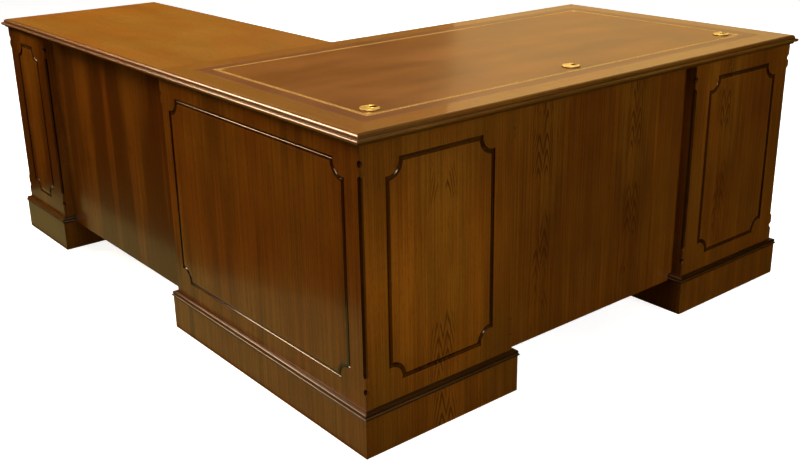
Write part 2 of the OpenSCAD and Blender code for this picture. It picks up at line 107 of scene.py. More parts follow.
class Recipe:
    """A material being made. Each method adds a node and gives back its output."""

    def __init__(self, name, **constants):
        self.material = bpy.data.materials.new(name)
        self.material.use_nodes = True
        self.tree = self.material.node_tree
        self.shader = next(n for n in self.tree.nodes if n.type == "BSDF_PRINCIPLED")
        for key, value in constants.items():
            socket = key.replace("_", " ").title().replace("Ior", "IOR")
            self.shader.inputs[socket].default_value = value

    def wire(self, value, socket):
        """Joins an output to a socket, or sets the socket where the value is a plain one."""
        if isinstance(value, bpy.types.NodeSocket):
            self.tree.links.new(value, socket)
        else:
            socket.default_value = value

    def add(self, kind, inputs, output=0, **settings):
        """A node of this kind with its inputs by name or number."""
        node = self.tree.nodes.new(kind)
        for key, value in settings.items():
            setattr(node, key, value)
        for socket, value in inputs.items():
            self.wire(value, node.inputs[socket])
        return node.outputs[output]

    def calc(self, operation, *values):
        """A sum, product or other function of one to three numbers."""
        return self.add("ShaderNodeMath", dict(enumerate(values)), operation=operation)

    def times(self, value, factor):
        """The product of two numbers."""
        return self.calc("MULTIPLY", value, factor)

    def total(self, *parts):
        """The sum of several numbers, each with its own weight."""
        result = 0.0
        for value, weight in parts:
            result = self.calc("MULTIPLY_ADD", value, weight, result)
        return result

    def place(self):
        """A point's place in the desk, as X, Y and Z. A moving piece takes its rest place along."""
        coordinates = self.add("ShaderNodeTexCoord", {}, output="Object")
        split = self.add("ShaderNodeSeparateXYZ", {0: coordinates}).node
        return split.outputs

    def faces_x(self):
        """One where the surface faces along X more than along Y, and nothing elsewhere."""
        normal = self.add("ShaderNodeTexCoord", {}, output="Normal")
        split = self.add("ShaderNodeSeparateXYZ", {0: normal}).node
        sizes = [self.calc("ABSOLUTE", axis) for axis in split.outputs]
        return self.calc("GREATER_THAN", sizes[0], sizes[1])

    def choose(self, share, nothing, all_of_it):
        """A number between two others."""
        return self.add("ShaderNodeMix", {0: share, 2: nothing, 3: all_of_it}, data_type="FLOAT")

    def tint(self, share, colour, other, how="MIX"):
        """A colour mixed with another."""
        inputs = {0: share, 6: colour, 7: other}
        return self.add("ShaderNodeMix", inputs, output=2, data_type="RGBA", blend_type=how)

    def noise(self, x, y, z, scales, detail=2.0, rough=0.5):
        """Noise with its own scale along each direction, in waves per metre, from 0 to 1."""
        axes = dict(enumerate(map(self.times, (x, y, z), scales)))
        point = self.add("ShaderNodeCombineXYZ", axes)
        inputs = {"Vector": point, "Scale": 1.0, "Detail": detail, "Roughness": rough}
        return self.add("ShaderNodeTexNoise", inputs)

    def fade(self, value, low, high, to_low=0.0, to_high=1.0):
        """A smooth step from one level to another."""
        inputs = {0: value, 1: low, 2: high, 3: to_low, 4: to_high}
        return self.add("ShaderNodeMapRange", inputs, interpolation_type="SMOOTHSTEP")

    def ramp(self, value, *stops):
        """A colour read off a ramp whose stops are (place, colour)."""
        output = self.add("ShaderNodeValToRGB", {0: value})
        marks = output.node.color_ramp.elements
        while len(marks) < len(stops):
            marks.new(0.5)
        for mark, (where, colour) in zip(marks, stops):
            mark.position = where
            mark.color = (*colour, 1)
        return output

    def finish(self, colour, rough, height, depth, strength=1.0):
        """Joins up the colour, the roughness and a bump of the given depth."""
        bump = self.add("ShaderNodeBump", {"Height": height, "Distance": depth, "Strength": strength})
        self.wire(colour, self.shader.inputs["Base Color"])
        self.wire(rough, self.shader.inputs["Roughness"])
        self.wire(bump, self.shader.inputs["Normal"])
        return self.material


# Kinds of wood: their colours, how strongly each part of the figure shows, how far apart their
# arches lie and how deep their relief is.
WALNUT = {
    "light": (0.262, 0.100, 0.0080),
    "middle": (0.172, 0.060, 0.0042),
    "dark": (0.066, 0.021, 0.0016),
    "pore": (0.022, 0.008, 0.0010),
    "streak": 0.66,
    "lines": 1.05,
    "fibre": 0.34,
    "cloud": 0.90,
    "arch": 52 * MM,
    "relief": 0.10 * MM,
}
GOLDEN = {
    "light": (0.400, 0.186, 0.024),
    "middle": (0.318, 0.139, 0.015),
    "dark": (0.216, 0.086, 0.008),
    "pore": (0.120, 0.042, 0.004),
    "streak": 0.20,
    "lines": 0.30,
    "fibre": 0.25,
    "cloud": 0.60,
    "arch": 60 * MM,
    "relief": 0.06 * MM,
}
MOULDED = {
    "light": (0.330, 0.142, 0.017),
    "middle": (0.230, 0.093, 0.010),
    "dark": (0.100, 0.036, 0.004),
    "pore": (0.045, 0.016, 0.002),
    "streak": 0.30,
    "lines": 0.50,
    "fibre": 0.40,
    "cloud": 0.50,
    "arch": 40 * MM,
    "relief": 0.05 * MM,
}
BEECH = {
    "light": (0.640, 0.430, 0.240),
    "middle": (0.560, 0.360, 0.190),
    "dark": (0.430, 0.250, 0.120),
    "pore": (0.280, 0.150, 0.070),
    "streak": 0.15,
    "lines": 0.40,
    "fibre": 0.35,
    "cloud": 0.50,
    "arch": 50 * MM,
    "relief": 0.10 * MM,
}


# What turns a stretch of wood redder, as a multiple of its colour.
REDDENING = (1.06, 0.78, 0.50, 1)


def wood_figure(recipe, across, side, along, look, shade, gloss, streaky=1.0):
    """Finishes a recipe as wood. Its rings show as nested arches on the line where across is
    nothing, and as ever straighter lines to both sides of it. side tells one surface from
    another, and streaky is how much of the look's dark streaks shows."""

    def figure(scales, detail=2.0, rough=0.5):
        return recipe.noise(across, side, along, scales, detail, rough)

    waver = figure((22, 5, 5))
    off = recipe.calc("ABSOLUTE", recipe.total((across, 1.0), (waver, 0.008), (1.0, -0.004)))
    steep = recipe.total((off, 3.0), (recipe.times(off, off), 100.0))
    ring = recipe.total((along, 1 / look["arch"]), (steep, 1 / look["arch"]), (waver, 1.9))
    phase = recipe.calc("FRACT", ring)
    late = recipe.times(recipe.fade(phase, 0.52, 0.88), recipe.fade(phase, 0.90, 1.0, 1.0, 0.0))
    patchy = recipe.fade(figure((9, 5, 5.5)), 0.50, 0.62, 0.05, 1.0)
    near = recipe.fade(off, 0.008, 0.034, 1.0, 0.12)
    lines = recipe.times(late, recipe.times(patchy, near))
    fibre = recipe.fade(figure((360, 360, 2.5), detail=1), 0.34, 0.66)
    cloud = figure((7, 7, 4), detail=3)
    streak = recipe.fade(figure((12, 7, 0.8), detail=3), 0.42, 0.61)
    redder = recipe.fade(figure((7, 9, 2.5)), 0.40, 0.60)
    pores = recipe.fade(figure((1500, 1500, 55), detail=1), 0.60, 0.70)
    smudge = figure((9, 9, 9), detail=4, rough=0.65)

    middle = 0.40 - (look["fibre"] + look["cloud"]) / 2
    shares = [(lines, look["lines"]), (fibre, look["fibre"]), (cloud, look["cloud"])]
    tone = recipe.total(*shares, (1.0, middle))
    colour = recipe.ramp(tone, (0.02, look["light"]), (0.45, look["middle"]), (0.98, look["dark"]))
    stain = recipe.times(streak, recipe.times(streaky, look["streak"]))
    colour = recipe.tint(stain, colour, (*look["dark"], 1))
    colour = recipe.tint(recipe.times(redder, 0.45), colour, REDDENING, how="MULTIPLY")
    colour = recipe.tint(recipe.times(pores, 0.6), colour, (*look["pore"], 1))
    # shade below one darkens the whole colour. The darker copies below use it for painted shade, and the
    # border uses it to sit a little darker than the return top.
    if shade < 1.0:
        colour = recipe.tint(1.0, colour, (shade, shade, shade, 1), how="MULTIPLY")
    rough = recipe.total((smudge, 0.16), (pores, 0.12), (1.0, gloss - 0.08))
    height = recipe.total((pores, -1.0), (lines, -0.35), (fibre, 0.15), (cloud, 0.8))
    return recipe.finish(colour, rough, height, look["relief"])


# The width of the veneer's leaves, where one of their joints lies, and how far from a joint the
# arches of their figure stand.
LEAF_WIDTH = 182.5 * MM
LEAF_JOINT = -587.5 * MM
HEART_LINE = 15 * MM


def veneer(name, shade=1.0, gloss=0.34, coat=0.5, polish=0.17, shine=0.06):
    """Walnut veneer, its grain upright, laid in leaves that mirror each other at their joints.
    Surfaces that face along X show a plainer part of the tree than those that face along Y."""
    recipe = Recipe(name, coat_weight=coat, coat_roughness=polish, specular_ior_level=shine)
    x, y, z = recipe.place()
    turned = recipe.faces_x()
    run = recipe.choose(turned, x, y)
    behind = recipe.choose(turned, y, x)
    moved = recipe.calc("SUBTRACT", run, LEAF_JOINT)
    leaf = recipe.calc("PINGPONG", moved, LEAF_WIDTH)
    index = recipe.calc("FLOOR", recipe.calc("DIVIDE", moved, 2 * LEAF_WIDTH))
    across = recipe.calc("SUBTRACT", leaf, HEART_LINE)
    across = recipe.times(across, recipe.choose(turned, 1.0, 0.75))
    across = recipe.total((across, 1.0), (turned, 0.045))
    side = recipe.total((behind, 2.0), (turned, 0.75), (index, 0.03))
    along = recipe.total((z, 1.0), (turned, 2.3))
    streaky = recipe.choose(turned, 0.50, 1.15)
    return wood_figure(recipe, across, side, along, WALNUT, shade, gloss, streaky)


def plain_wood(name, look, grain, shade=1.0, gloss=0.34, coat=0.45, polish=0.10, shine=0.3):
    """Wood whose grain runs along the one axis that grain names."""
    recipe = Recipe(name, coat_weight=coat, coat_roughness=polish, specular_ior_level=shine)
    axes = dict(zip("XYZ", recipe.place()))
    along = axes.pop(grain)
    across, behind = axes.values()
    return wood_figure(recipe, across, behind, along, look, shade, gloss)


def leather_material(low, high):
    """Brown hide: fine grain, soft clouds, and a darker, redder margin along its edge."""
    recipe = Recipe("leather", coat_weight=0.25, coat_roughness=0.18, specular_ior_level=0.5)
    x, y, z = recipe.place()
    clouds = recipe.noise(x, y, z, (5, 5, 5), detail=5, rough=0.6)
    rubbed = recipe.noise(x, y, z, (3, 14, 3), detail=4, rough=0.55)
    tone = recipe.total((clouds, 0.75), (rubbed, 0.55), (1.0, -0.18))
    colour = recipe.ramp(
        tone,
        (0.25, (0.150, 0.054, 0.005)),
        (0.5, (0.222, 0.080, 0.007)),
        (0.75, (0.300, 0.108, 0.010)),
    )
    nearest = recipe.calc("SUBTRACT", x, low.x)
    for greater, lesser in ((high.x, x), (y, low.y), (high.y, y)):
        nearest = recipe.calc("MINIMUM", nearest, recipe.calc("SUBTRACT", greater, lesser))
    ragged = recipe.total((nearest, 1.0), (clouds, 0.016))
    margin = recipe.fade(ragged, 0.026, 0.054, 0.50, 0.0)
    colour = recipe.tint(margin, colour, (0.160, 0.060, 0.026, 1))
    pebble = recipe.add(
        "ShaderNodeTexVoronoi",
        {"Vector": recipe.add("ShaderNodeTexCoord", {}, output="Object"), "Scale": 850.0},
        feature="SMOOTH_F1",
    )
    crease = recipe.noise(x, y, z, (260, 260, 260), detail=3)
    height = recipe.total((pebble, 0.8), (crease, 0.6))
    rough = recipe.total((clouds, 0.14), (pebble, 0.12), (1.0, 0.24))
    return recipe.finish(colour, rough, height, 0.10 * MM, 0.5)


def metal(name, bright, dull, roughness, metallic):
    """Polished metal with a breath of tarnish and fine scratches."""
    recipe = Recipe(name, metallic=metallic)
    x, y, z = recipe.place()
    tarnish = recipe.noise(x, y, z, (55, 55, 55), detail=4, rough=0.6)
    scratch = recipe.noise(x, y, z, (900, 900, 2400), detail=2)
    colour = recipe.tint(recipe.fade(tarnish, 0.45, 0.75, 0.0, 0.6), (*bright, 1), (*dull, 1))
    rough = recipe.total((tarnish, 0.16), (scratch, 0.10), (1.0, roughness - 0.1))
    height = recipe.total((scratch, 1.0), (tarnish, 2.0))
    return recipe.finish(colour, rough, height, 0.02 * MM, 0.4)


def floor_material():
    """Matt pale paper, lit a little from below."""
    recipe = Recipe("floor_paper", specular_ior_level=0.1)
    recipe.shader.inputs["Emission Color"].default_value = (1, 1, 1, 1)
    recipe.shader.inputs["Emission Strength"].default_value = 0.80
    x, y, z = recipe.place()
    mottle = recipe.noise(x, y, z, (3, 3, 3), detail=3)
    colour = recipe.ramp(mottle, (0.3, (0.90, 0.90, 0.90)), (0.7, (0.93, 0.93, 0.93)))
    return recipe.finish(colour, 0.9, mottle, 0.1 * MM, 0.1)


def glow_material(name, colour, strength):
    """An even glow, for the backdrop and for the cards that reflections show."""
    material = bpy.data.materials.new(name)
    material.use_nodes = True
    tree = material.node_tree
    tree.nodes.clear()
    light = tree.nodes.new("ShaderNodeEmission")
    light.inputs["Color"].default_value = (*colour, 1)
    light.inputs["Strength"].default_value = strength
    output = tree.nodes.new("ShaderNodeOutputMaterial")
    tree.links.new(light.outputs[0], output.inputs[0])
    return material


leather_low, leather_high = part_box("leather_inset")
CASE = veneer("case_veneer")
# The grooves get a darker copy of the veneer: painted shade in the recess.
CASE_GROOVE_SHADE = veneer("case_groove_shade", shade=0.31, gloss=0.24, coat=0.8, polish=0.08)
# Darker copies of the veneer for the corner coves and their balls: painted shade, case_shaded over each
# cove and the darker one over the part nearer the side's outer face.
CASE_SHADED = veneer("case_shaded", shade=0.45, gloss=0.5, coat=0.1)
CASE_COVE_SHADE = veneer("case_cove_shade", shade=0.16, gloss=0.6, coat=0.0, shine=0.0)
TOP_Y = plain_wood("top_veneer_y", GOLDEN, "Y")
BORDER_X = plain_wood("border_x", GOLDEN, "X", shade=0.86, polish=0.05)
BORDER_Y = plain_wood("border_y", GOLDEN, "Y", shade=0.86, polish=0.05)
# The runs along X get a darker copy of the moulding than those along Y: painted shade on the sides that
# face away from the light.
MOULD_X_SHADED = plain_wood(
    "moulding_x", MOULDED, "X", shade=0.55, gloss=0.38, coat=0.8, polish=0.06, shine=0.05
)
MOULD_Y = plain_wood("moulding_y", MOULDED, "Y", shade=0.85, gloss=0.38, coat=1.0, polish=0.17)
# A darker copy of the moulding for its quirks and hollows: painted shade.
MOULD_QUIRK_SHADE = plain_wood("moulding_quirk_shade", MOULDED, "X", shade=0.30, gloss=0.3)
# The plinth mouldings are darker copies of the moulding, those along X the darkest: painted shade.
CAP_X_SHADED = plain_wood("plinth_moulding_x", MOULDED, "X", shade=0.12, coat=0.35, shine=0.05)
CAP_Y_SHADED = plain_wood("plinth_moulding_y_shaded", MOULDED, "Y", shade=0.30, coat=0.6, polish=0.07, shine=0.05)
INNER_X = plain_wood("inner_wood_x", BEECH, "X", gloss=0.5, coat=0.0)
INNER_Y = plain_wood("inner_wood_y", BEECH, "Y", gloss=0.5, coat=0.0)
LEATHER = leather_material(leather_low, leather_high)
BRASS = metal("brass", (0.95, 0.64, 0.15), (0.62, 0.37, 0.07), 0.18, 0.40)
# Near-black brass for the grommets' sleeves and the insides of their slots: painted shade inside the
# holes.
BRASS_SHADE = metal("brass_painted_shade", (0.045, 0.028, 0.010), (0.020, 0.012, 0.005), 0.45, 0.30)
GILT = metal("gilt_tooling", (0.58, 0.38, 0.09), (0.28, 0.17, 0.04), 0.42, 0.20)


# ---- Shapes ----


def board(low, high, soft=0.0, steps=3, rounded=None):
    """A board between two corners. Its edges are rounded by soft, or only those whose middle
    and direction the function rounded accepts."""
    low = Vector(low)
    high = Vector(high)
    shape = bmesh.new()
    bmesh.ops.create_cube(shape, size=1.0)
    bmesh.ops.scale(shape, vec=high - low, verts=shape.verts)
    bmesh.ops.translate(shape, vec=(low + high) / 2, verts=shape.verts)
    if soft > 0:
        chosen = []
        for edge in shape.edges:
            ends = [v.co for v in edge.verts]
            if rounded is None or rounded((ends[0] + ends[1]) / 2, ends[1] - ends[0]):
                chosen.append(edge)
        bmesh.ops.bevel(shape, geom=chosen, offset=soft, segments=steps, profile=0.5, affect="EDGES")
    return shape


def join_loops(shape, loops, closed=True):
    """Faces between neighbouring loops of vertices; closed joins the last loop to the first."""
    count = len(loops[0])
    pairs = list(zip(loops, loops[1:]))
    if closed:
        pairs.append((loops[-1], loops[0]))
    for one, other in pairs:
        for k in range(count):
            corners = [one[k], one[(k + 1) % count], other[(k + 1) % count], other[k]]
            corners = list(dict.fromkeys(corners))
            if len(corners) > 2:
                shape.faces.new(corners)


def lathe(profile, sides):
    """A turned shape about Z. The profile's points are (radius, height); one of no radius is a
    pole, and a profile with no poles closes on itself."""
    shape = bmesh.new()
    loops = []
    for radius, height in profile:
        if radius == 0:
            loops.append([shape.verts.new((0, 0, height))] * sides)
            continue
        turns = [2 * math.pi * k / sides for k in range(sides)]
        points = [(radius * math.cos(t), radius * math.sin(t), height) for t in turns]
        loops.append([shape.verts.new(point) for point in points])
    join_loops(shape, loops, closed=profile[0][0] > 0)
    return shape


def rod(points, radii, sides=16):
    """A round rod through the points, with its own radius at each, and closed ends."""
    shape = bmesh.new()
    loops = []
    side = None
    for k, point in enumerate(points):
        before = points[max(k - 1, 0)]
        after = points[min(k + 1, len(points) - 1)]
        ahead = (after - before).normalized()
        if side is None:
            side = ahead.orthogonal().normalized()
        side = (side - ahead * side.dot(ahead)).normalized()
        other = ahead.cross(side)
        turns = [2 * math.pi * j / sides for j in range(sides)]
        loop = [point + (side * math.cos(t) + other * math.sin(t)) * radii[k] for t in turns]
        loops.append([shape.verts.new(p) for p in loop])
    join_loops(shape, loops, closed=False)
    shape.faces.new(loops[0])
    shape.faces.new(loops[-1])
    return shape


def arc(centre, radius, start, end, steps):
    """Points (a, b) on an arc, with its angles in degrees."""
    points = []
    for k in range(steps + 1):
        angle = math.radians(start + (end - start) * k / steps)
        points.append((centre[0] + radius * math.cos(angle), centre[1] + radius * math.sin(angle)))
    return points


def strip(shape, start, end, section, turns, index):
    """One length of moulding between two points of its outer line, with its inside on the left.
    Each section point is (depth inwards, height). A turn of 1 mitres that end for an outside
    corner, 0 leaves it square and -1 mitres it for an inside corner. index is its material."""
    start = Vector(start)
    end = Vector(end)
    ahead = (end - start).normalized()
    inwards = UP.cross(ahead)
    hairline = 0.04 * MM
    loops = []
    for origin, turn, way in ((start, turns[0], 1), (end, turns[1], -1)):
        loop = []
        for depth, height in section:
            along = ahead * (way * (depth * turn + hairline))
            loop.append(shape.verts.new(origin + inwards * depth + along + UP * height))
        loops.append(loop)
    faces = [shape.faces.new(loops[0]), shape.faces.new(loops[1])]
    for k in range(len(section)):
        after = (k + 1) % len(section)
        faces.append(shape.faces.new([loops[0][k], loops[0][after], loops[1][after], loops[1][k]]))
    for face in faces:
        face.material_index = index


def sides_of(low, high):
    """The start and end of each side of a rectangle, counter-clockwise from its lowest corner."""
    corners = [(low[0], low[1]), (high[0], low[1]), (high[0], high[1]), (low[0], high[1])]
    return list(zip(corners, corners[1:] + corners[:1]))


def ring_of_strips(section, low, high, base):
    """Four mitred lengths of moulding around a rectangle. Lengths along Y get material 1."""
    shape = bmesh.new()
    for k, (start, end) in enumerate(sides_of(low, high)):
        strip(shape, (*start, base), (*end, base), section, (1, 1), k % 2)
    return shape


def hollow_outline(width, height, radius, grow):
    """A rectangle with hollow corners about its middle, grown outwards by grow."""
    steps = 9
    reach = radius - grow
    tilt = math.degrees(math.asin(grow / reach))
    points = []
    for k, (side, level) in enumerate(((1, 1), (-1, 1), (-1, -1), (1, -1))):
        centre = (side * width / 2, level * height / 2)
        points += arc(centre, reach, 270 + 90 * k + tilt, 180 + 90 * k - tilt, steps)
    return points


def ring_cutter(width, height, radius, section):
    """A cutter for a groove along a hollow-cornered rectangle in the XZ plane. Each section
    point is (distance outwards from the groove's middle line, depth along Y)."""
    shape = bmesh.new()
    loops = []
    for grow, depth in section:
        outline = hollow_outline(width, height, radius, grow)
        loops.append([shape.verts.new((x, depth, z)) for x, z in outline])
    join_loops(shape, loops)
    return shape


def add_into(shape, other, matrix=None):
    """Adds another shape to this one, moved by the matrix, and frees it."""
    if matrix is not None:
        place(other, matrix)
    mesh = into_mesh(other)
    shape.from_mesh(mesh)
    bpy.data.meshes.remove(mesh)
    return shape


def move_to(x, y, z, turn=0.0):
    """The matrix that turns a shape about Z and then moves it."""
    return Matrix.Translation((x, y, z)) @ Matrix.Rotation(turn, 4, "Z")


def place(shape, matrix):
    """Moves a shape by the matrix, and keeps its faces outwards where the matrix mirrors."""
    bmesh.ops.transform(shape, matrix=matrix, verts=shape.verts)
    if matrix.determinant() < 0:
        bmesh.ops.reverse_faces(shape, faces=shape.faces)
    return shape


def carve(shape, cutter):
    """The shape with the cutter's shells cut out of it."""
    solids = []
    for part in (shape, cutter):
        bmesh.ops.recalc_face_normals(part, faces=part.faces)
        solids.append(new_object("passing", into_mesh(part)))
    cut = solids[0].modifiers.new("cut", "BOOLEAN")
    cut.object = solids[1]
    cut.operation = "DIFFERENCE"
    cut.solver = "EXACT"
    bpy.context.view_layer.update()
    result = bmesh.new()
    result.from_object(solids[0], bpy.context.evaluated_depsgraph_get())
    for solid in solids:
        mesh = solid.data
        bpy.data.objects.remove(solid)
        bpy.data.meshes.remove(mesh)
    return result


def sharpen(shape):
    """Smooth shading that breaks at real arrises, and wherever a broad flat face ends."""
    sharp_angle = 34
    broad = 9 * MM
    for face in shape.faces:
        face.smooth = True
    for edge in shape.edges:
        if len(edge.link_faces) != 2:
            edge.smooth = False
            continue
        angle = math.degrees(edge.calc_face_angle(0.0))
        breadths = [2 * f.calc_area() / max(f.calc_perimeter(), 1e-9) for f in edge.link_faces]
        flat_ends = max(breadths) > broad and angle > 0.5
        edge.smooth = not (angle > sharp_angle or flat_ends)


def paint_shade(shape, inside, index=1):
    """Gives the faces inside a hollow another, darker material: painted shade where the hollow lies in
    shade.
    """
    for face in shape.faces:
        if inside(face.calc_center_median()):
            face.material_index = index


def piece(name, shape, materials, body="carcase", stands_for=()):
    """Puts a finished shape in the scene, in its materials and riding on its body."""
    bmesh.ops.remove_doubles(shape, verts=shape.verts, dist=1e-7)
    bmesh.ops.recalc_face_normals(shape, faces=shape.faces)
    sharpen(shape)
    mesh = into_mesh(shape, name)
    for material in materials:
        mesh.materials.append(material)
    made = new_object(name, mesh)
    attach(made, body)
    if stands_for:
        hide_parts(*stands_for)
    return made


def rebuilt(node, suffix, shape, materials, body="carcase"):
    """A piece that stands for one CAD node and is named after it."""
    piece(f"{node}_{suffix}", shape, materials, body, [node])


def dress(node, *materials):
    """Gives a CAD node that stays in view its materials, the first of them all over."""
    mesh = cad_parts[node].data
    mesh.materials.clear()
    for material in materials:
        mesh.materials.append(material)
    return mesh


# ---- Tops ----


board_low, board_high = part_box("main_top_board")
main_low, main_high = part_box("main_top_edge")
return_low, return_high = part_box("return_top_board")
wing_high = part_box("return_top_edge")[1]
TOP_UNDER = main_low.z
TOP_THICK = main_high.z - main_low.z
EDGE_WIDTH = board_low.x - main_low.x


def edge_section():
    """The tops' edge: a quarter round, a quirk, a bead, and a hollow back to the underside."""
    round_r = 8.3 * MM
    bead_r = 4.6 * MM
    points = [(EDGE_WIDTH, 0), (EDGE_WIDTH, TOP_THICK)]
    points += arc((EDGE_WIDTH - 1 * MM, TOP_THICK - round_r), round_r, 90, 180, 9)
    points.append((7.7 * MM, TOP_THICK - 10.8 * MM))
    points += arc((bead_r, TOP_THICK - 15.6 * MM), bead_r, 62, 276, 16)
    points += arc((5.4 * MM, 1.2 * MM), 4.4 * MM, 80, 10, 5)
    points.append((9.7 * MM, 0))
    return points


def in_quirk(middle):
    """Whether a face of the tops' edge lies in one of its two hollows."""
    height = middle.z - TOP_UNDER
    quirk_low = 14.3 * MM
    quirk_high = 16.5 * MM
    hollow_high = 5.6 * MM
    return quirk_low < height < quirk_high or 0 < height < hollow_high


def slab_section(width, thick):
    """A flat board's section, with its two upper arrises just broken."""
    chamfer = 0.35 * MM
    shoulder = thick - chamfer
    points = [(0, 0), (width, 0), (width, shoulder), (width - chamfer, thick)]
    points += [(chamfer, thick), (0, shoulder)]
    return points


def cylinders(places, radius, low, high):
    """Upright cylinders at several places, as one cutter."""
    shape = bmesh.new()
    for x, y in places:
        post = lathe([(0, low), (radius, low), (radius, high), (0, high)], 64)
        add_into(shape, post, move_to(x, y, 0))
    return shape


def cap_places():
    """The middles of the three grommets and their caps' radius. A cap's slot cuts it short
    along X, so the radius comes from its width along Y."""
    boxes = [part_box(f"grommet_cap_{k}") for k in (1, 2, 3)]
    radius = (boxes[0][1].y - boxes[0][0].y) / 2
    return [(low.x + radius, low.y + radius) for low, _ in boxes], radius


def upper_edge(middle, direction):
    """Whether an edge lies along the leather's upper face."""
    return abs(direction.z) < 0.1 * MM and middle.z > (leather_low.z + leather_high.z) / 2


def make_tops():
    """The two tops with their mouldings, and the mitred border around the leather."""
    section = edge_section()
    west, south, base = main_low
    east, inner_y = main_high.x, main_high.y
    inner_x, north = wing_high.x, wing_high.y
    seam_y = board_high.y
    main_runs = [
        ((west, south), (east, south), (1, 1), 0),
        ((east, south), (east, inner_y), (1, 1), 1),
        ((east, inner_y), (inner_x, inner_y), (1, -1), 0),
        ((west, seam_y), (west, south), (0, 1), 1),
    ]
    return_runs = [
        ((inner_x, inner_y), (inner_x, north), (-1, 1), 1),
        ((inner_x, north), (west, north), (1, 1), 0),
        ((west, north), (west, seam_y), (1, 0), 1),
    ]
    mouldings = [MOULD_X_SHADED, MOULD_Y, MOULD_QUIRK_SHADE]
    for name, runs in (("main_top", main_runs), ("return_top", return_runs)):
        edge = bmesh.new()
        for start, end, turns, index in runs:
            strip(edge, (*start, base), (*end, base), section, turns, index)
        # The quirk and the hollow under the bead get the darker moulding: painted shade.
        paint_shade(edge, in_quirk, 2)
        piece(name + "_moulding", edge, mouldings, stands_for=[name + "_edge"])

    grommets, cap_r = cap_places()
    wood_hole_r = cap_r - 1.5 * MM
    hide_hole_r = cap_r + 0.4 * MM
    past = 10 * MM
    border = leather_low.x - board_low.x
    top = ring_of_strips(slab_section(border, TOP_THICK), board_low, board_high, base)
    core_low = (leather_low.x, leather_low.y, base)
    core_high = (leather_high.x, leather_high.y, leather_low.z)
    holes = cylinders(grommets, wood_hole_r, base - past, leather_low.z + past)
    add_into(top, carve(board(core_low, core_high), holes))
    piece("main_top_panel", top, [BORDER_X, BORDER_Y], stands_for=["main_top_board"])

    chamfer = 0.35 * MM
    wing = board(return_low, return_high, chamfer, 1)
    piece("return_top_panel", wing, [TOP_Y], stands_for=["return_top_board"])

    gap = Vector((0.3, 0.3, 0)) * MM
    sink = Vector((0, 0, 0.15)) * MM
    edge_round = 0.6 * MM
    hide = board(leather_low + gap, leather_high - gap - sink, edge_round, 3, upper_edge)
    holes = cylinders(grommets, hide_hole_r, leather_low.z - past, leather_high.z + past)
    piece("leather_hide", carve(hide, holes), [LEATHER], stands_for=["leather_inset"])


def leaf(length, breadth, rise):
    """A small domed leaf along +X from the origin, closed below."""
    steps = 5
    shape = bmesh.new()
    rim = []
    for side in (1, -1):
        for k in range(steps):
            share = k / steps if side > 0 else 1 - k / steps
            swell = math.sin(math.pi * share) ** 0.8
            rim.append(shape.verts.new((length * share, side * breadth / 2 * swell, 0)))
    crown = shape.verts.new((length * 0.42, 0, rise))
    for k, vertex in enumerate(rim):
        shape.faces.new((vertex, rim[(k + 1) % len(rim)], crown))
    shape.faces.new(rim)
    return shape


def make_tooling():
    """The gilt band pressed into the leather: two lines with leaves and pearls between them,
    and a spray of three leaves in each corner."""
    inset = 36 * MM
    band = 9.5 * MM
    line = 1.4 * MM
    pitch = 12.5 * MM
    rise = 0.35 * MM
    level = leather_high.z - 0.2 * MM
    low = Vector((leather_low.x + inset, leather_low.y + inset))
    high = Vector((leather_high.x - inset, leather_high.y - inset))
    section = [(0, 0), (line, 0), (line, rise), (0, rise)]
    tooling = ring_of_strips(section, low, high, level)
    shift = Vector((band - line, band - line))
    add_into(tooling, ring_of_strips(section, low + shift, high - shift, level))
    for k, (corner, after) in enumerate(sides_of(low, high)):
        run = math.dist(corner, after)
        turn = move_to(*corner, level, math.pi / 2 * k)
        count = round((run - 2 * band) / pitch)
        step = (run - 2 * band) / count
        for n in range(count):
            start = band + n * step
            tilt = math.radians(28 if n % 2 else -28)
            stem = 0.33 if n % 2 else 0.67
            where = move_to(start, band * stem, 0, tilt)
            add_into(tooling, leaf(step * 0.84, 5.4 * MM, 1.5 * rise), turn @ where)
            pearl = lathe([(0, 0), (1.6 * MM, 0), (1.2 * MM, rise), (0, 1.4 * rise)], 8)
            add_into(tooling, pearl, turn @ move_to(start + step * 0.92, band / 2, 0))
        for angle, length in ((45, 26), (17, 19), (73, 19)):
            where = move_to(band, band, 0, math.radians(angle))
            add_into(tooling, leaf(length * MM, 5 * MM, 1.5 * rise), turn @ where)
        bloom = lathe([(0, 0), (4 * MM, 0), (3.2 * MM, rise), (0, 1.6 * rise)], 12)
        add_into(tooling, bloom, turn @ move_to(band / 2, band / 2, 0))
    piece("gilt_tooling", tooling, [GILT, GILT])


def make_grommets():
    """The grommets: a flanged sleeve each, and a dished cap whose slot has a rolled lip."""
    places, cap_r = cap_places()
    liner_low, liner_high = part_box("grommet_liners")
    bore = 20 * MM
    flange = liner_high.z - leather_low.z
    height = liner_high.z - liner_low.z
    sleeves = bmesh.new()
    outside = bore + 2.4 * MM
    rim = cap_r - 0.5 * MM
    profile = [(bore, 0), (outside, 0), (outside, height - flange), (rim, height - flange)]
    profile += [(rim, height - 0.7 * MM), (cap_r - 1.1 * MM, height)]
    profile += [(bore + 0.5 * MM, height), (bore, height - 0.5 * MM)]
    for x, y in places:
        add_into(sleeves, lathe(profile, 64), move_to(x, y, liner_low.z))
    # The sleeves are near black: painted shade inside the holes.
    piece("grommet_sleeves", sleeves, [BRASS_SHADE], stands_for=["grommet_liners"])
    for k, (x, y) in enumerate(places, 1):
        make_cap(f"grommet_cap_{k}", x, y, cap_r, liner_high.z)


